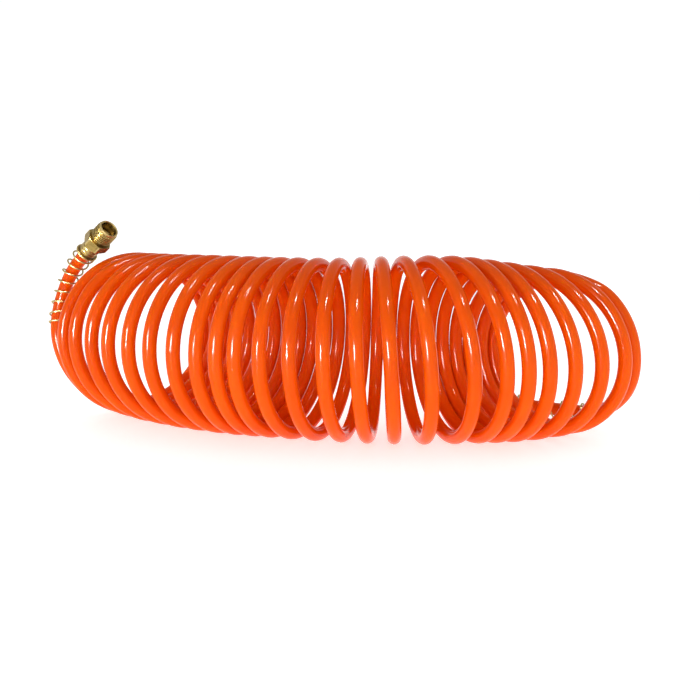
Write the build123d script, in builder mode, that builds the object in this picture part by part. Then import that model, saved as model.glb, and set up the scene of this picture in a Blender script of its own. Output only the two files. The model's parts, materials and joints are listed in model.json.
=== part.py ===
"""Recoil air hose: a coiled plastic hose lying bent on the ground, with a swivel fitting at each end.

Millimetres, +Z up, origin at the centre of the footprint on the ground, +X along the coil.
"""
import os
from math import cos, radians, sin, tan

from build123d import *

# ---- hose ----
HOSE_OD = 8.0
HOSE_ID = 5.0
SHORT_RUN_SHARE = 0.45  # share of the shorter run that an arc of a loose hose end takes up

# ---- coil: one fat tube with the turns' outer shape, along three tangent arcs ----
COIL_MEAN_RADIUS = 47.0
COIL_START = (-126.8, 45.7)
COIL_START_HEADING = -56.0
COIL_ARCS = ((125.0, 40.0), (484.0, 15.0), (104.0, 41.0))  # radius, degrees turned

# ---- loose hose ends: route from the coil to the last point before the fitting, and its aim ----
LEFT_ROUTE = (
    (-152.6, 32.2, 14.1),
    (-162.0, 28.2, 26.8),
    (-168.1, 28.2, 39.1),
    (-171.3, 30.1, 52.2),
    (-171.5, 34.4, 64.4),
    (-168.5, 36.5, 76.4),
    (-163.4, 35.8, 88.1),
    (-156.3, 32.4, 98.1),
)
LEFT_AIM = (0.672, -0.46, 0.58)
RIGHT_ROUTE = (
    (158.6, -19.2, 85.1),
    (166.2, -24.6, 74.6),
    (171.1, -27.2, 62.6),
    (173.7, -26.7, 50.0),
    (174.3, -22.9, 37.6),
    (172.7, -15.9, 26.4),
    (168.6, -6.7, 17.4),
    (162.6, 2.7, 11.6),
    (154.0, 11.5, 9.0),
    (142.3, 19.5, 8.6),
    (132.4, 24.8, 8.6),
    (122.5, 30.0, 8.6),
)
RIGHT_AIM = (-0.885, 0.465, 0.0)
LAST_RUN = 18.5  # straight end of the hose, up to the stem's shoulder

# ---- fitting, measured along its axis from the ferrule's rear edge ----
HOSE_END_AT = 9.5
FERRULE_LENGTH = 10.0
FERRULE_RADIUS = 5.5
FERRULE_FLANGE_RADIUS = 5.8
FERRULE_FLANGE_WIDTH = 0.9

STEM_BORE_RADIUS = 1.7
BARB_ROOT_RADIUS = 2.4
BARB_CREST_RADIUS = 2.7
BARB_STARTS = (1.2, 3.8, 6.4)
BARB_LENGTH = 2.6
JOURNAL_RADIUS = 3.75
GROOVE_START = 13.2
GROOVE_END = 15.0
GROOVE_RADIUS = 2.6
HEAD_START = 18.7
HEAD_END = 20.7
HEAD_RADIUS = 4.6
HEAD_CHAMFER = 0.5

RUNNING_GAP = 0.05
WASHER_BORE_RADIUS = 3.85
SEAL_SECTION_RADIUS = 0.59

HEX_START = 10.2
HEX_END = 16.2
HEX_ACROSS_FLATS = 14.0
HEX_CHAMFER = 0.9
RELIEF_END = 17.4
RELIEF_RADIUS = 5.6
THREAD_RADIUS = 6.58  # G 1/4, major diameter 13.157
THREAD_END = 27.0
THREAD_CHAMFER = 0.8
MOUTH_RADIUS = 4.8
MOUTH_CHAMFER = 0.5
SHOULDER_AT = HEAD_START - 0.5

# ---- spring guard: a sleeve with the wire coil's outer shape ----
GUARD_INNER_RADIUS = FERRULE_RADIUS
GUARD_OUTER_RADIUS = 6.6
GUARD_FRONT_AT = 1.8  # its first turn sits just ahead of the ferrule's rear flange

os.makedirs("parts", exist_ok=True)


def route_with_end(route, aim):
    """The route's points with the straight end of the hose added."""
    points = [Vector(*point) for point in route]
    points.append(points[-1] + Vector(*aim).normalized() * LAST_RUN)
    return points


def arc_radii(points):
    """One arc radius for each corner of a route, as large as its two runs allow."""
    radii = []
    for before, corner, after in zip(points, points[1:], points[2:]):
        run_in = corner - before
        run_out = after - corner
        half_turn = radians(run_in.get_angle(run_out)) / 2
        shorter = min(run_in.length, run_out.length)
        radii.append(SHORT_RUN_SHARE * shorter / tan(half_turn))
    return radii


def fitting_profile_plane(base, aim):
    """A plane through the fitting's axis: its local X is the radius, its local Y runs along the axis."""
    along = Vector(*aim).normalized()
    across = along.cross(Vector(0, 0, 1)).normalized()
    return Plane(origin=base, x_dir=across, z_dir=across.cross(along))


def fitting_section_plane(base, aim, distance):
    """A plane across the fitting's axis, at a distance from the ferrule's rear edge."""
    along = Vector(*aim).normalized()
    across = along.cross(Vector(0, 0, 1)).normalized()
    return Plane(origin=base + along * distance, x_dir=across, z_dir=along)


def write(part, name):
    """Label a finished part and write it as STEP."""
    part.label = name
    export_step(part, f"parts/{name}.step")
    print(name, "volume", round(part.volume, 1))


# ---- coil ----
AXIS_HEIGHT = COIL_MEAN_RADIUS + HOSE_OD / 2
start_direction = (cos(radians(COIL_START_HEADING)), sin(radians(COIL_START_HEADING)))

with BuildPart() as hose_coil:
    with BuildLine(Plane.XY.offset(AXIS_HEIGHT)) as coil_axis:
        first_arc = JernArc(COIL_START, start_direction, *COIL_ARCS[0])
        middle_arc = JernArc(first_arc @ 1, first_arc % 1, *COIL_ARCS[1])
        last_arc = JernArc(middle_arc @ 1, middle_arc % 1, *COIL_ARCS[2])
    with BuildSketch(Plane(origin=coil_axis.line @ 0, z_dir=coil_axis.line % 0)):
        Circle(COIL_MEAN_RADIUS + HOSE_OD / 2)
        Circle(COIL_MEAN_RADIUS - HOSE_OD / 2, mode=Mode.SUBTRACT)
    sweep(path=coil_axis.line)
write(hose_coil.part, "hose_coil")


def make_hose_tail(points, radii, name):
    """The loose end of the hose, a plain tube from the coil into the ferrule."""
    with BuildPart() as hose_tail:
        with BuildLine() as path:
            FilletPolyline(*points, radius=radii)
        with BuildSketch(Plane(origin=path.line @ 0, z_dir=path.line % 0)):
            Circle(HOSE_OD / 2)
            Circle(HOSE_ID / 2, mode=Mode.SUBTRACT)
        sweep(path=path.line)
    section_area = Circle(HOSE_OD / 2, mode=Mode.PRIVATE).area - Circle(HOSE_ID / 2, mode=Mode.PRIVATE).area
    print(name, "arc radii", [round(radius, 1) for radius in radii])
    length = path.wires()[0].length
    print(name, "length", round(length, 1), "section x length", round(section_area * length, 1))
    write(hose_tail.part, name)


def make_spring_guard(points, radii, skipped_corners, name):
    """The wire guard's sleeve, from part way along the loose end to over the ferrule."""
    first_run = points[skipped_corners + 1] - points[skipped_corners]
    last_run = points[-1] - points[-2]
    start = points[skipped_corners] + first_run * 0.5
    end = points[-1] - last_run.normalized() * (HOSE_END_AT - GUARD_FRONT_AT)
    with BuildPart() as spring_guard:
        with BuildLine() as path:
            FilletPolyline(start, *points[skipped_corners + 1:-1], end, radius=radii[skipped_corners:])
        with BuildSketch(Plane(origin=path.line @ 0, z_dir=path.line % 0)):
            Circle(GUARD_OUTER_RADIUS)
            Circle(GUARD_INNER_RADIUS, mode=Mode.SUBTRACT)
        sweep(path=path.line)
    write(spring_guard.part, name)


def make_ferrule(base, aim, name):
    """The brass sleeve pressed over the hose, with a rear flange and a lip on the stem's journal."""
    with BuildPart() as ferrule:
        with BuildSketch(fitting_profile_plane(base, aim)):
            with BuildLine():
                Polyline(
                    (HOSE_OD / 2, 0),
                    (FERRULE_FLANGE_RADIUS, 0),
                    (FERRULE_FLANGE_RADIUS, FERRULE_FLANGE_WIDTH),
                    (FERRULE_RADIUS, FERRULE_FLANGE_WIDTH),
                    (FERRULE_RADIUS, FERRULE_LENGTH),
                    (JOURNAL_RADIUS, FERRULE_LENGTH),
                    (JOURNAL_RADIUS, HOSE_END_AT),
                    (HOSE_OD / 2, HOSE_END_AT),
                    close=True,
                )
            make_face()
        revolve(axis=Axis(base, Vector(*aim)))
    write(ferrule.part, name)


def make_barbed_stem(base, aim, name):
    """The stem that the fitting turns on: barbs in the hose, a journal with a seal groove, and a head."""
    with BuildPart() as barbed_stem:
        with BuildSketch(fitting_profile_plane(base, aim)):
            with BuildLine():
                barbs = []
                for barb_start in BARB_STARTS:
                    barbs.append((BARB_ROOT_RADIUS, barb_start))
                    barbs.append((BARB_CREST_RADIUS, barb_start + BARB_LENGTH))
                Polyline(
                    (STEM_BORE_RADIUS, BARB_STARTS[0]),
                    *barbs,
                    (BARB_ROOT_RADIUS, BARB_STARTS[-1] + BARB_LENGTH),
                    (BARB_ROOT_RADIUS, HOSE_END_AT),
                    (JOURNAL_RADIUS, HOSE_END_AT),
                    (JOURNAL_RADIUS, GROOVE_START),
                    (GROOVE_RADIUS, GROOVE_START),
                    (GROOVE_RADIUS, GROOVE_END),
                    (JOURNAL_RADIUS, GROOVE_END),
                    (JOURNAL_RADIUS, HEAD_START),
                    (HEAD_RADIUS, HEAD_START),
                    (HEAD_RADIUS, HEAD_END - HEAD_CHAMFER),
                    (HEAD_RADIUS - HEAD_CHAMFER, HEAD_END),
                    (STEM_BORE_RADIUS, HEAD_END),
                    close=True,
                )
            make_face()
        revolve(axis=Axis(base, Vector(*aim)))
    write(barbed_stem.part, name)


def make_seal_ring(base, aim, name):
    """The rubber ring in the stem's groove."""
    with BuildPart() as seal_ring:
        with BuildSketch(fitting_profile_plane(base, aim)):
            with Locations((GROOVE_RADIUS + SEAL_SECTION_RADIUS, (GROOVE_START + GROOVE_END) / 2)):
                Circle(SEAL_SECTION_RADIUS)
        revolve(axis=Axis(base, Vector(*aim)))
    write(seal_ring.part, name)


def make_thrust_washer(base, aim, name):
    """The thin washer between the stem's head and the swivel's inner shoulder."""
    with BuildPart() as thrust_washer:
        with BuildSketch(fitting_section_plane(base, aim, SHOULDER_AT + RUNNING_GAP)):
            Circle(HEAD_RADIUS)
            Circle(WASHER_BORE_RADIUS, mode=Mode.SUBTRACT)
        extrude(amount=HEAD_START - SHOULDER_AT - RUNNING_GAP)
    write(thrust_washer.part, name)


def make_threaded_swivel(base, aim, name):
    """The turning body: a hexagon with chamfered corners, a relief and a G 1/4 male thread, bored through."""
    corner_radius = HEX_ACROSS_FLATS / 2 / cos(radians(30))
    chamfered_end_radius = corner_radius - HEX_CHAMFER
    with BuildPart() as threaded_swivel:
        with BuildSketch(fitting_section_plane(base, aim, HEX_START)):
            RegularPolygon(HEX_ACROSS_FLATS / 2, 6, major_radius=False)
        extrude(amount=HEX_END - HEX_START)
        with BuildSketch(fitting_profile_plane(base, aim)):
            with BuildLine():
                Polyline(
                    (0, HEX_START),
                    (chamfered_end_radius, HEX_START),
                    (corner_radius, HEX_START + HEX_CHAMFER / 2),
                    (corner_radius, HEX_END - HEX_CHAMFER / 2),
                    (chamfered_end_radius, HEX_END),
                    (0, HEX_END),
                    close=True,
                )
            make_face()
        revolve(axis=Axis(base, Vector(*aim)), mode=Mode.INTERSECT)
        with BuildSketch(fitting_profile_plane(base, aim)):
            with BuildLine():
                Polyline(
                    (0, HEX_END),
                    (RELIEF_RADIUS, HEX_END),
                    (RELIEF_RADIUS, RELIEF_END),
                    (THREAD_RADIUS, RELIEF_END),
                    (THREAD_RADIUS, THREAD_END - THREAD_CHAMFER),
                    (THREAD_RADIUS - THREAD_CHAMFER, THREAD_END),
                    (0, THREAD_END),
                    close=True,
                )
            make_face()
        revolve(axis=Axis(base, Vector(*aim)))
        with BuildSketch(fitting_profile_plane(base, aim)):
            with BuildLine():
                Polyline(
                    (0, HEX_START),
                    (JOURNAL_RADIUS + RUNNING_GAP, HEX_START),
                    (JOURNAL_RADIUS + RUNNING_GAP, SHOULDER_AT),
                    (MOUTH_RADIUS, SHOULDER_AT),
                    (MOUTH_RADIUS, THREAD_END - MOUTH_CHAMFER),
                    (MOUTH_RADIUS + MOUTH_CHAMFER, THREAD_END),
                    (0, THREAD_END),
                    close=True,
                )
            make_face()
        revolve(axis=Axis(base, Vector(*aim)), mode=Mode.SUBTRACT)
    write(threaded_swivel.part, name)


# ---- the two ends ----
ENDS = (
    ("left", LEFT_ROUTE, LEFT_AIM, 3),
    ("right", RIGHT_ROUTE, RIGHT_AIM, 7),
)
for side, route, aim, corners_before_guard in ENDS:
    hose_points = route_with_end(route, aim)
    hose_radii = arc_radii(hose_points)
    fitting_base = hose_points[-1] - Vector(*aim).normalized() * HOSE_END_AT
    print(side, "fitting base", fitting_base, "axis", Vector(*aim).normalized())
    make_hose_tail(hose_points, hose_radii, f"{side}_hose_tail")
    make_spring_guard(hose_points, hose_radii, corners_before_guard, f"{side}_spring_guard")
    make_ferrule(fitting_base, aim, f"{side}_ferrule")
    make_barbed_stem(fitting_base, aim, f"{side}_barbed_stem")
    make_seal_ring(fitting_base, aim, f"{side}_seal_ring")
    make_thrust_washer(fitting_base, aim, f"{side}_thrust_washer")
    make_threaded_swivel(fitting_base, aim, f"{side}_threaded_swivel")
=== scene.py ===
"""Looks of the coiled air hose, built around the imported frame. Metres, +Z up, +X along the coil."""
import json
from math import cos, pi, radians, sin, tau

import bmesh
import bpy
from mathutils import Matrix, Vector

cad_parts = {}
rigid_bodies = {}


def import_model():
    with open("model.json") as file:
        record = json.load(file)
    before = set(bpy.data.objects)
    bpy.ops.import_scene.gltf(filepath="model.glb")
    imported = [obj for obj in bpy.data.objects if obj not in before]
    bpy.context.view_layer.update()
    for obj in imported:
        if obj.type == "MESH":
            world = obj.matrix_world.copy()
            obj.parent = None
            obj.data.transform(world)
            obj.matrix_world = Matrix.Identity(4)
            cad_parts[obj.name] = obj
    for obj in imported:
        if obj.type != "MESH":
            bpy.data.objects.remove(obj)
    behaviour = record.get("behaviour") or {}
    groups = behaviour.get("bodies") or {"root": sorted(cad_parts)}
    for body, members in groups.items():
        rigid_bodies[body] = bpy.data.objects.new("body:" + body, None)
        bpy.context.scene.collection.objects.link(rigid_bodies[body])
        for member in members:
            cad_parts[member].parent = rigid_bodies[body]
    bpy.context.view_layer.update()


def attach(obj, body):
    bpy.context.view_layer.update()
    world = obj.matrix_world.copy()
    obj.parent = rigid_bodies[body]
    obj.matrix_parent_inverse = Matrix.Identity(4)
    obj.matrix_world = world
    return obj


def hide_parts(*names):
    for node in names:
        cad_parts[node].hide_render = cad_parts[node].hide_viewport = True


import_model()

MM = 0.001

# ---- camera ----
CAMERA_PLACE = (0.0123, -0.5481, 0.1469)
CAMERA_PITCH_DOWN = 0.177
CAMERA_ROLL = 0.006
CAMERA_LENS = 48.12
CAMERA_SENSOR = 36.0

# ---- hose ----
HOSE_DIAMETER = 0.008
POINTS_PER_TURN = 16
FIRST_COIL_STEP = 11  # sixteenths of a turn after the walk's start, where the left loose end joins
LAST_COIL_STEP = 389  # and where the right loose end joins

# The turns touch along a line on their inner side. The walk along it starts half a turn before the first
# front of the coil.
BACK_START = (-0.0892, 0.0722)
START_TURN = 0.5
KNOT_TURNS = 2.5  # the headings and steps below are given this often
BACK_HEADINGS = (-52.9, -37.6, -25.4, -16.4, -10.5, -7.6, -6.7, -5.8, -1.9, 9.8, 33.0)
BACK_STEPS = (8.6, 9.9, 9.5, 8.4, 8.2, 8.1, 8.05, 8.05, 8.1, 8.2, 8.4)  # mm from one turn to the next
# How far each turn is fanned round from the one before, in degrees: a loose coil never spreads evenly
FIRST_FAN = -62.0
FAN_STEPS = (
    4.3, 2.9, 5.2, 3.4, 4.4, 4.0, 4.5, 3.6, 2.1, 1.5, 3.7, 5.1,
    6.1, 5.8, 5.6, 7.2, 8.6, 5.9, 2.6, 2.8, 5.3, 7.5, 8.5, -1.2,
)
SHAPE_TURNS = 6.25  # the radii and leans below are given this often
RING_RADII = (47.4, 48.5, 48.6, 49.5, 43.9)  # mm
RING_LEANS = (-0.01, -0.045, -0.026, 0.053, 0.02)  # radians along the coil

# The loose ends, from the coil to the fitting, and where the last straight run aims
LEFT_ROUTE = (
    (-0.1526, 0.0322, 0.0141),
    (-0.1620, 0.0282, 0.0268),
    (-0.1681, 0.0282, 0.0391),
    (-0.1713, 0.0301, 0.0522),
    (-0.1715, 0.0344, 0.0644),
    (-0.1685, 0.0365, 0.0764),
    (-0.1634, 0.0358, 0.0881),
    (-0.1563, 0.0324, 0.0981),
)
LEFT_AIM = Vector((0.672, -0.46, 0.58)).normalized()
RIGHT_ROUTE = (
    (0.1586, -0.0192, 0.0851),
    (0.1662, -0.0246, 0.0746),
    (0.1711, -0.0272, 0.0626),
    (0.1737, -0.0267, 0.0500),
    (0.1743, -0.0229, 0.0376),
    (0.1727, -0.0159, 0.0264),
    (0.1686, -0.0067, 0.0174),
    (0.1626, 0.0027, 0.0116),
    (0.1540, 0.0115, 0.0090),
    (0.1423, 0.0195, 0.0086),
    (0.1324, 0.0248, 0.0086),
    (0.1225, 0.0300, 0.0086),
)
RIGHT_AIM = Vector((-0.885, 0.465, 0)).normalized()
LAST_RUN = 0.0185
HOSE_END_AT = 0.0095  # from the ferrule's rear edge to the hose's end inside it

# ---- spring guard, in metres along the hose from its end in the fitting ----
WIRE_DIAMETER = 0.0011
GUARD_START = 0.0078
GUARD_END = 0.0620
GUARD_PITCH = 0.0070
GUARD_END_PITCH = 0.0013
GUARD_CLOSED_LENGTH = 0.0015
GUARD_START_RADIUS = 0.00635
GUARD_END_RADIUS = 0.0049
WIRE_POINTS_PER_LOOP = 18

# ---- fitting, in millimetres from the ferrule's rear edge ----
RING_COUNT = 96
SHARP_FROM = radians(28)
HEX_START = 10.2
HEX_END = 16.2
HEX_APOTHEM = 7.0
HEX_END_RADIUS = 7.18
HEX_CHAMFER_SLOPE = 2.0
HEX_CHAMFER_STATIONS = (0, 0.1, 0.2, 0.3, 0.45)
HEX_FACE_RADIUS = 5.6
JOURNAL_BORE = 3.8
RELIEF_RADIUS = 5.6
THREAD_START = 17.4
THREAD_STOP = 25.6
THREAD_TIP = 27.0
THREAD_RADIUS = 6.58
THREAD_PITCH = 1.337
THREAD_DEPTH = 0.78
THREAD_STATIONS = 12  # for each turn of the thread
RIM_RADIUS = 5.95
SHOULDER_AT = 18.2
MOUTH_RADIUS = 4.8
RIM_CHAMFER = 0.35
MOUTH_CHAMFER = 0.4
RUN_OUT_SLOPE = 1.4
THREAD_SHARPNESS = 1.3
BEAD_RADIUS = 0.55
FERRULE_RADIUS = 5.5
FERRULE_GROOVES = (4.6, 7.2)
FERRULE_GROOVE_OUTLINE = ((-0.45, 0), (-0.25, 0.2), (0, 0.28), (0.25, 0.2), (0.45, 0))


def add_camera():
    """The camera, at the height and tilt of a person standing back from a table."""
    data = bpy.data.cameras.new("camera")
    data.lens = CAMERA_LENS
    data.sensor_width = CAMERA_SENSOR
    camera = bpy.data.objects.new("camera", data)
    bpy.context.scene.collection.objects.link(camera)
    aim = Matrix.Rotation(pi / 2 - CAMERA_PITCH_DOWN, 4, "X") @ Matrix.Rotation(CAMERA_ROLL, 4, "Z")
    camera.matrix_world = Matrix.Translation(CAMERA_PLACE) @ aim
    bpy.context.scene.camera = camera


def smooth_value(values, place):
    """The value at a place on a smooth curve through evenly spaced values; place 0 is the first one."""
    whole = min(int(place), len(values) - 2)
    share = place - whole
    near, far = values[whole], values[whole + 1]
    before = values[whole - 1] if whole > 0 else 2 * near - far
    after = values[whole + 2] if whole + 2 < len(values) else 2 * far - near
    leaving = (far - before) / 2
    arriving = (after - near) / 2
    bend_in = 3 * (far - near) - 2 * leaving - arriving
    bend_out = leaving + arriving - 2 * (far - near)
    return near + leaving * share + bend_in * share ** 2 + bend_out * share ** 3


def coil_points():
    """The coil's control points: whole turns pass the outer side of the bend, quarters later the ground."""
    fans = [FIRST_FAN]
    for step in FAN_STEPS:
        fans.append(fans[-1] + step)
    back = Vector((*BACK_START, 0))
    points = []
    for index in range(LAST_COIL_STEP + 1):
        walked = index / POINTS_PER_TURN
        turn = START_TURN + walked
        if index >= FIRST_COIL_STEP:
            fan = radians(smooth_value(fans, turn - 1))
            radius = smooth_value(RING_RADII, walked / SHAPE_TURNS) * MM
            lean = smooth_value(RING_LEANS, walked / SHAPE_TURNS)
            outward = Vector((sin(fan), -cos(fan), 0))
            onward = Vector((cos(fan), sin(fan), 0))
            middle = back + outward * radius + Vector((0, 0, radius + HOSE_DIAMETER / 2))
            angle = tau * turn
            downward = Vector((0, 0, -sin(angle) * cos(lean)))
            rim = outward * cos(angle) + onward * sin(angle) * sin(lean) + downward
            points.append(middle + rim * radius / cos(pi / POINTS_PER_TURN))
        heading = radians(smooth_value(BACK_HEADINGS, walked / KNOT_TURNS))
        step = smooth_value(BACK_STEPS, walked / KNOT_TURNS) * MM / POINTS_PER_TURN
        back += Vector((cos(heading), sin(heading), 0)) * step
    return points


def hose_points():
    """Every control point of the hose, from the left fitting through the coil to the right one."""
    left_route = [Vector(point) for point in LEFT_ROUTE]
    right_route = [Vector(point) for point in RIGHT_ROUTE]
    left_end = left_route[-1] + LEFT_AIM * LAST_RUN
    right_end = right_route[-1] + RIGHT_AIM * LAST_RUN
    return [left_end, *reversed(left_route), *coil_points(), *right_route, right_end]


def smooth_curve(name, points, resolution):
    """A curve object of one NURBS spline, with no thickness yet."""
    data = bpy.data.curves.new(name, "CURVE")
    data.dimensions = "3D"
    spline = data.splines.new("NURBS")
    spline.points.add(len(points) - 1)
    for target, point in zip(spline.points, points):
        target.co = (*point, 1)
    spline.order_u = 3
    spline.use_endpoint_u = True
    spline.resolution_u = resolution
    curve = bpy.data.objects.new(name, data)
    bpy.context.scene.collection.objects.link(curve)
    return curve


def centre_line(curve):
    """The points that a curve passes through, in order."""
    bpy.context.view_layer.update()
    mesh = bpy.data.meshes.new_from_object(curve)
    points = [vertex.co.copy() for vertex in mesh.vertices]
    bpy.data.meshes.remove(mesh)
    return points


def tube_mesh(curve, name, diameter, roundness):
    """A round mesh tube along a curve, which it takes the place of."""
    curve.data.bevel_depth = diameter / 2
    curve.data.bevel_resolution = roundness
    curve.data.use_fill_caps = True
    bpy.context.view_layer.update()
    mesh = bpy.data.meshes.new_from_object(curve)
    mesh.name = name
    mesh.shade_smooth()
    bpy.data.objects.remove(curve)
    tube = bpy.data.objects.new(name, mesh)
    bpy.context.scene.collection.objects.link(tube)
    return tube


def guard_points(line):
    """Points of a wire wound round the hose, whose centre line starts at its end in the fitting."""
    points = []
    side = Vector((0, 0, 1))
    angle = 0
    along = GUARD_START
    passed = 0
    index = 0
    while along < GUARD_END:
        run = line[index + 1] - line[index]
        while passed + run.length < along:
            passed += run.length
            index += 1
            run = line[index + 1] - line[index]
        share = (along - passed) / run.length
        next_run = line[index + 2] - line[index + 1]
        direction = run.normalized().lerp(next_run.normalized(), share).normalized()
        side = (side - direction * side.dot(direction)).normalized()
        done = (along - GUARD_START) / (GUARD_END - GUARD_START)
        radius = GUARD_START_RADIUS + (GUARD_END_RADIUS - GUARD_START_RADIUS) * done
        around = side * cos(angle) + direction.cross(side) * sin(angle)
        points.append(line[index].lerp(line[index + 1], share) + around * radius)
        closed = min(along - GUARD_START, GUARD_END - along) < GUARD_CLOSED_LENGTH
        along += (GUARD_END_PITCH if closed else GUARD_PITCH) / WIRE_POINTS_PER_LOOP
        angle += tau / WIRE_POINTS_PER_LOOP
    return points


def add_guard(side, line):
    """The wire spring guard at one end of the hose."""
    route = smooth_curve("wire_route", guard_points(line), 2)
    wire = tube_mesh(route, f"{side}_guard_wire", WIRE_DIAMETER, 3)
    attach(wire, "hose")
    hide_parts(f"{side}_spring_guard")
    wire.data.materials.append(MATERIALS["guard_wire"])
    return wire


def turned_piece(name, stations, base, aim):
    """A closed ring-shaped solid along the fitting's axis.

    Each station is a distance and a radius in millimetres. A radius that changes round the axis is a
    function of the angle.
    """
    mesh = bpy.data.meshes.new(name)
    edit = bmesh.new()
    rings = []
    for distance, radius in stations:
        ring = []
        for index in range(RING_COUNT):
            angle = tau * index / RING_COUNT
            here = radius(angle) if callable(radius) else radius
            ring.append(edit.verts.new((here * cos(angle) * MM, here * sin(angle) * MM, distance * MM)))
        rings.append(ring)
    for ring, following in zip(rings, rings[1:] + rings[:1]):
        for index in range(RING_COUNT):
            after = (index + 1) % RING_COUNT
            edit.faces.new((ring[index], ring[after], following[after], following[index]))
    bmesh.ops.recalc_face_normals(edit, faces=edit.faces)
    edit.to_mesh(mesh)
    edit.free()
    mesh.shade_smooth()
    mesh.set_sharp_from_angle(angle=SHARP_FROM)
    piece = bpy.data.objects.new(name, mesh)
    bpy.context.scene.collection.objects.link(piece)
    across = aim.cross(Vector((0, 0, 1))).normalized()
    turn = Matrix((across, aim.cross(across), aim)).transposed().to_4x4()
    piece.matrix_world = Matrix.Translation(base) @ turn
    return piece


def hex_radius(distance):
    """The hexagon's outline at one distance along the axis, cut back to a cone near both faces."""
    cone = HEX_END_RADIUS + HEX_CHAMFER_SLOPE * min(distance - HEX_START, HEX_END - distance)

    def radius(angle):
        from_flat = (angle % (tau / 6)) - tau / 12
        return min(HEX_APOTHEM / cos(from_flat), cone)
    return radius


def thread_radius(distance):
    """The thread's outline at one distance along the axis, running out at both ends."""
    rise = min(distance - THREAD_START, THREAD_STOP - distance)
    limit = RELIEF_RADIUS + RUN_OUT_SLOPE * max(rise, 0)

    def radius(angle):
        wave = 0.5 - 0.5 * cos(tau * (distance / THREAD_PITCH) - angle)
        return min(THREAD_RADIUS - THREAD_DEPTH * wave ** THREAD_SHARPNESS, limit)
    return radius


def swivel_stations():
    """The turning body's outline: hexagon, relief, thread, plain rim, open mouth and journal bore."""
    stations = [(HEX_START, JOURNAL_BORE), (HEX_START, HEX_FACE_RADIUS)]
    for into in HEX_CHAMFER_STATIONS:
        stations.append((HEX_START + into, hex_radius(HEX_START + into)))
    for into in reversed(HEX_CHAMFER_STATIONS):
        stations.append((HEX_END - into, hex_radius(HEX_END - into)))
    stations += [(HEX_END, RELIEF_RADIUS), (THREAD_START, RELIEF_RADIUS)]
    count = round((THREAD_STOP - THREAD_START) / THREAD_PITCH * THREAD_STATIONS)
    for index in range(1, count):
        distance = THREAD_START + (THREAD_STOP - THREAD_START) * index / count
        stations.append((distance, thread_radius(distance)))
    stations += [
        (THREAD_STOP, RELIEF_RADIUS),
        (THREAD_STOP + 0.1, RIM_RADIUS),
        (THREAD_TIP - RIM_CHAMFER, RIM_RADIUS),
        (THREAD_TIP, RIM_RADIUS - RIM_CHAMFER),
        (THREAD_TIP, MOUTH_RADIUS + MOUTH_CHAMFER),
        (THREAD_TIP - MOUTH_CHAMFER, MOUTH_RADIUS),
        (SHOULDER_AT, MOUTH_RADIUS),
        (SHOULDER_AT, JOURNAL_BORE),
    ]
    return stations


def ferrule_stations():
    """The ferrule's outline: a rounded bead, a neck and a body with two rolled grooves."""
    stations = [(0, 4.0), (0, 5.2)]
    for degrees in range(-60, 61, 30):
        along = BEAD_RADIUS * (1 + sin(radians(degrees)))
        stations.append((along, 5.25 + BEAD_RADIUS * cos(radians(degrees))))
    stations += [(1.3, 5.2), (2.6, 5.2), (2.9, 5.45)]
    for groove in FERRULE_GROOVES:
        for along, depth in FERRULE_GROOVE_OUTLINE:
            stations.append((groove + along, FERRULE_RADIUS - depth))
    stations += [(9.4, 5.5), (9.75, 5.4), (10.0, 5.1), (10.0, 3.75), (9.5, 3.75), (9.5, 4.0)]
    return stations


def add_fitting(side, base, aim):
    """The ferrule and the turning body at one end of the hose."""
    ferrule = turned_piece(f"{side}_ferrule_shell", ferrule_stations(), base, aim)
    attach(ferrule, "hose")
    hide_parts(f"{side}_ferrule")
    ferrule.data.materials.append(MATERIALS["ferrule"])
    swivel = turned_piece(f"{side}_swivel_body", swivel_stations(), base, aim)
    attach(swivel, f"{side}_swivel")
    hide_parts(f"{side}_threaded_swivel")
    swivel.data.materials.append(MATERIALS["swivel"])
    return [ferrule, swivel]


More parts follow.
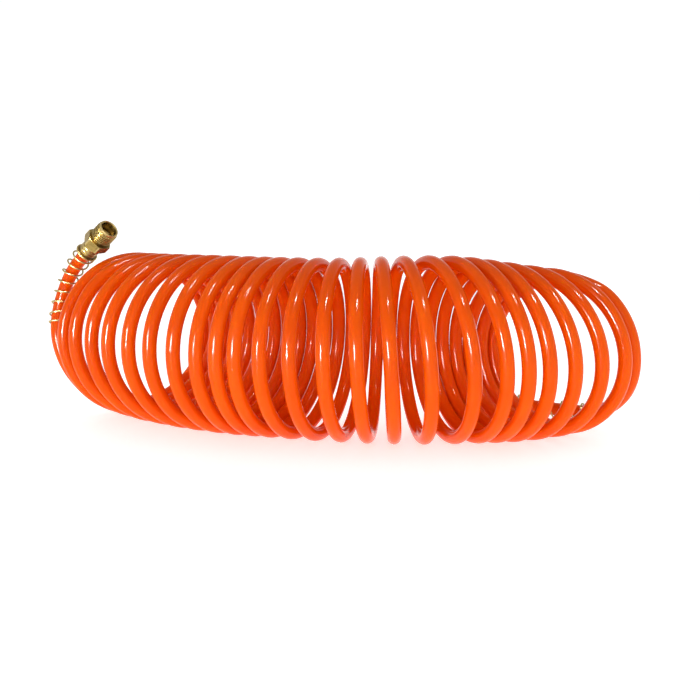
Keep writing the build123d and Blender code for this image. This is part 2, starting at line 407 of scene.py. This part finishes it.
# ---- materials ----
class Shader:
    """A new material and short ways to add nodes to it."""

    def __init__(self, name):
        self.material = bpy.data.materials.new(name)
        self.material.use_nodes = True
        self.tree = self.material.node_tree
        self.surface = self.tree.nodes["Principled BSDF"]
        self.place = self.tree.nodes.new("ShaderNodeTexCoord").outputs["Object"]

    def link(self, source, target):
        """Join an output to an input."""
        self.tree.links.new(source, target)

    def constants(self, **values):
        """Constant values on the surface's own sockets."""
        for name, value in values.items():
            self.surface.inputs[name.replace("_", " ")].default_value = value

    def noise(self, scale, detail=4.0, stretch=(1, 1, 1)):
        """A noise pattern from 0 to 1, with its scale per metre."""
        mapping = self.tree.nodes.new("ShaderNodeMapping")
        mapping.inputs["Scale"].default_value = stretch
        self.link(self.place, mapping.inputs["Vector"])
        node = self.tree.nodes.new("ShaderNodeTexNoise")
        node.inputs["Scale"].default_value = scale
        node.inputs["Detail"].default_value = detail
        self.link(mapping.outputs["Vector"], node.inputs["Vector"])
        return node.outputs["Fac"]

    def remap(self, source, low, high, to_low, to_high):
        """Stretch a span of a pattern to new limits."""
        node = self.tree.nodes.new("ShaderNodeMapRange")
        node.inputs["From Min"].default_value = low
        node.inputs["From Max"].default_value = high
        node.inputs["To Min"].default_value = to_low
        node.inputs["To Max"].default_value = to_high
        self.link(source, node.inputs["Value"])
        return node.outputs["Result"]

    def edges(self, low, high):
        """1 on sharp outer edges, 0 on flat and hollow places."""
        geometry = self.tree.nodes.new("ShaderNodeNewGeometry")
        return self.remap(geometry.outputs["Pointiness"], low, high, 0, 1)

    def mix(self, share, first, second):
        """A mix of two colours, each a colour or a socket."""
        node = self.tree.nodes.new("ShaderNodeMix")
        node.data_type = "RGBA"
        self.link(share, node.inputs["Factor"])
        for socket, colour in ((node.inputs["A"], first), (node.inputs["B"], second)):
            if isinstance(colour, tuple):
                socket.default_value = (*colour, 1)
            else:
                self.link(colour, socket)
        return node.outputs["Result"]

    def bump(self, height, distance, strength):
        """Raise and lower the surface by a pattern, by up to a distance in metres."""
        node = self.tree.nodes.new("ShaderNodeBump")
        node.inputs["Distance"].default_value = distance
        node.inputs["Strength"].default_value = strength
        self.link(height, node.inputs["Height"])
        self.link(node.outputs["Normal"], self.surface.inputs["Normal"])


def orange_plastic():
    """Glossy, slightly translucent polyurethane with faint scuffs and dust."""
    shader = Shader("orange_plastic")
    tone = shader.remap(shader.noise(28), 0.35, 0.65, 0, 1)
    colour = shader.mix(tone, (0.80, 0.084, 0.001), (0.86, 0.102, 0.001))
    scuffs = shader.remap(shader.noise(900, 3.0, (1, 1, 0.25)), 0.66, 0.74, 0, 0.25)
    shader.link(shader.mix(scuffs, colour, (0.88, 0.15, 0.01)), shader.surface.inputs["Base Color"])
    shader.link(shader.remap(shader.noise(150), 0.3, 0.7, 0.08, 0.16), shader.surface.inputs["Roughness"])
    shader.bump(shader.noise(420, 2.0), 0.0002, 0.08)
    shader.constants(IOR=1.35, Specular_IOR_Level=0.18, Subsurface_Weight=0.2, Subsurface_Scale=0.003,
               Subsurface_Radius=(1.0, 0.12, 0.02))
    return shader.material


def brass(name, bright, tarnish_and_painted_reflection, roughness, turning):
    """Brass with random darker patches, partly tarnish and partly painted dark reflections, turning marks
    round its axis and bright worn edges.
    """
    shader = Shader(name)
    # Random patches of darker brass: partly tarnish, partly painted dark reflections of darker surroundings.
    patches = shader.remap(shader.noise(260, 6.0), 0.38, 0.62, 0, 1)
    colour = shader.mix(patches, bright, tarnish_and_painted_reflection)
    worn = shader.mix(shader.edges(0.52, 0.60), colour, (0.62, 0.47, 0.20))
    shader.link(worn, shader.surface.inputs["Base Color"])
    shader.link(shader.remap(patches, 0, 1, roughness, roughness + 0.16), shader.surface.inputs["Roughness"])
    shader.bump(shader.noise(turning, 3.0, (0.06, 0.06, 1)), 0.00008, 0.5)
    shader.constants(Metallic=1.0)
    return shader.material


def seal_rubber():
    """Black greased rubber with a fine grain."""
    shader = Shader("seal_rubber")
    grain = shader.noise(2500, 3.0)
    colour = shader.mix(grain, (0.012, 0.012, 0.012), (0.035, 0.034, 0.032))
    shader.link(colour, shader.surface.inputs["Base Color"])
    shader.link(shader.remap(shader.noise(700), 0.3, 0.7, 0.25, 0.5), shader.surface.inputs["Roughness"])
    shader.bump(grain, 0.00003, 0.4)
    return shader.material


def washer_plastic():
    """Off-white moulded plastic, rubbed darker in patches."""
    shader = Shader("washer_plastic")
    rubbed = shader.remap(shader.noise(900), 0.4, 0.6, 0, 1)
    colour = shader.mix(rubbed, (0.72, 0.70, 0.64), (0.52, 0.50, 0.44))
    shader.link(colour, shader.surface.inputs["Base Color"])
    shader.link(shader.remap(rubbed, 0, 1, 0.38, 0.55), shader.surface.inputs["Roughness"])
    shader.bump(shader.noise(3000, 2.0), 0.00003, 0.3)
    return shader.material



def dress_cad(node_name, slot):
    """Give a carried-over CAD node its material."""
    for piece in bpy.data.objects:
        if piece.type == "MESH" and piece.name.startswith(node_name):
            piece.data.materials.clear()
            piece.data.materials.append(MATERIALS[slot])


MATERIALS = {
    "hose": orange_plastic(),
    # The second colour of each brass is partly tarnish and partly a painted dark reflection.
    "guard_wire": brass("wire_brass", (0.40, 0.28, 0.10), (0.22, 0.15, 0.05), 0.22, 600),
    "ferrule": brass("ferrule_brass", (0.38, 0.26, 0.075), (0.13, 0.08, 0.025), 0.24, 2600),
    "stem": brass("stem_brass", (0.30, 0.20, 0.06), (0.14, 0.09, 0.03), 0.26, 2600),
    "swivel": brass("swivel_brass", (0.36, 0.25, 0.075), (0.17, 0.115, 0.035), 0.22, 2600),
    "seal": seal_rubber(),
    "washer": washer_plastic(),
}

# ---- the object ----
add_camera()
hose_route = smooth_curve("hose_route", hose_points(), 5)
hose_line = centre_line(hose_route)
hose = tube_mesh(hose_route, "hose", HOSE_DIAMETER, 6)
hose.data.materials.append(MATERIALS["hose"])
left_base = Vector(LEFT_ROUTE[-1]) + LEFT_AIM * (LAST_RUN - HOSE_END_AT)
right_base = Vector(RIGHT_ROUTE[-1]) + RIGHT_AIM * (LAST_RUN - HOSE_END_AT)
add_guard("left", hose_line)
add_fitting("left", left_base, LEFT_AIM)
right_pieces = [add_guard("right", hose_line[::-1]), *add_fitting("right", right_base, RIGHT_AIM)]
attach(hose, "hose")
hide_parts("hose_coil", "left_hose_tail", "right_hose_tail")
for side in ("left", "right"):
    dress_cad(f"{side}_barbed_stem", "stem")
    dress_cad(f"{side}_seal_ring", "seal")
    dress_cad(f"{side}_thrust_washer", "washer")

# ---- stage ----
floor_mesh = bpy.data.meshes.new("floor")
floor_edit = bmesh.new()
bmesh.ops.create_grid(floor_edit, x_segments=1, y_segments=1, size=6)
floor_edit.to_mesh(floor_mesh)
floor_edit.free()
floor = bpy.data.objects.new("floor", floor_mesh)
bpy.context.scene.collection.objects.link(floor)
white = bpy.data.materials.new("white")
white.use_nodes = True
white_surface = white.node_tree.nodes["Principled BSDF"]
white_surface.inputs["Base Color"].default_value = (0.9, 0.9, 0.9, 1)
white_surface.inputs["Roughness"].default_value = 0.6
white_surface.inputs["Emission Color"].default_value = (1, 1, 1, 1)
white_surface.inputs["Emission Strength"].default_value = 0.6
floor.data.materials.append(white)


def add_light(name, place, target, width, height, power, only_gloss):
    """A rectangular studio lamp that faces a point."""
    data = bpy.data.lights.new(name, "AREA")
    data.shape = "RECTANGLE"
    data.size = width
    data.size_y = height
    data.energy = power
    lamp = bpy.data.objects.new(name, data)
    lamp.location = place
    lamp.rotation_euler = (Vector(target) - Vector(place)).to_track_quat("-Z", "Y").to_euler()
    lamp.visible_diffuse = not only_gloss
    bpy.context.scene.collection.objects.link(lamp)


def add_world():
    """A white studio, brighter round the horizon than overhead."""
    world = bpy.data.worlds.new("studio")
    world.use_nodes = True
    tree = world.node_tree
    direction = tree.nodes.new("ShaderNodeTexCoord").outputs["Generated"]
    split = tree.nodes.new("ShaderNodeSeparateXYZ")
    fade = tree.nodes.new("ShaderNodeMapRange")
    fade.inputs["From Min"].default_value = 0.22
    fade.inputs["From Max"].default_value = 0.60
    fade.inputs["To Min"].default_value = 1.02
    fade.inputs["To Max"].default_value = 0.55
    tree.links.new(direction, split.inputs["Vector"])
    tree.links.new(split.outputs["Z"], fade.inputs["Value"])
    tree.links.new(fade.outputs["Result"], tree.nodes["Background"].inputs["Strength"])
    tree.nodes["Background"].inputs["Color"].default_value = (1, 1, 1, 1)
    bpy.context.scene.world = world


add_world()
add_light("softbox", (-0.62, -1.10, 0.19), (0, 0, 0.05), 0.30, 0.36, 75, True)
add_light("window", (0.35, -0.5, 1.2), (0, 0, 0.05), 0.35, 0.20, 26, True)
add_light("front", (0.1, -1.6, 0.5), (0, 0, 0.05), 0.6, 0.5, 1.5, False)
bpy.context.scene.view_settings.view_transform = "Standard"
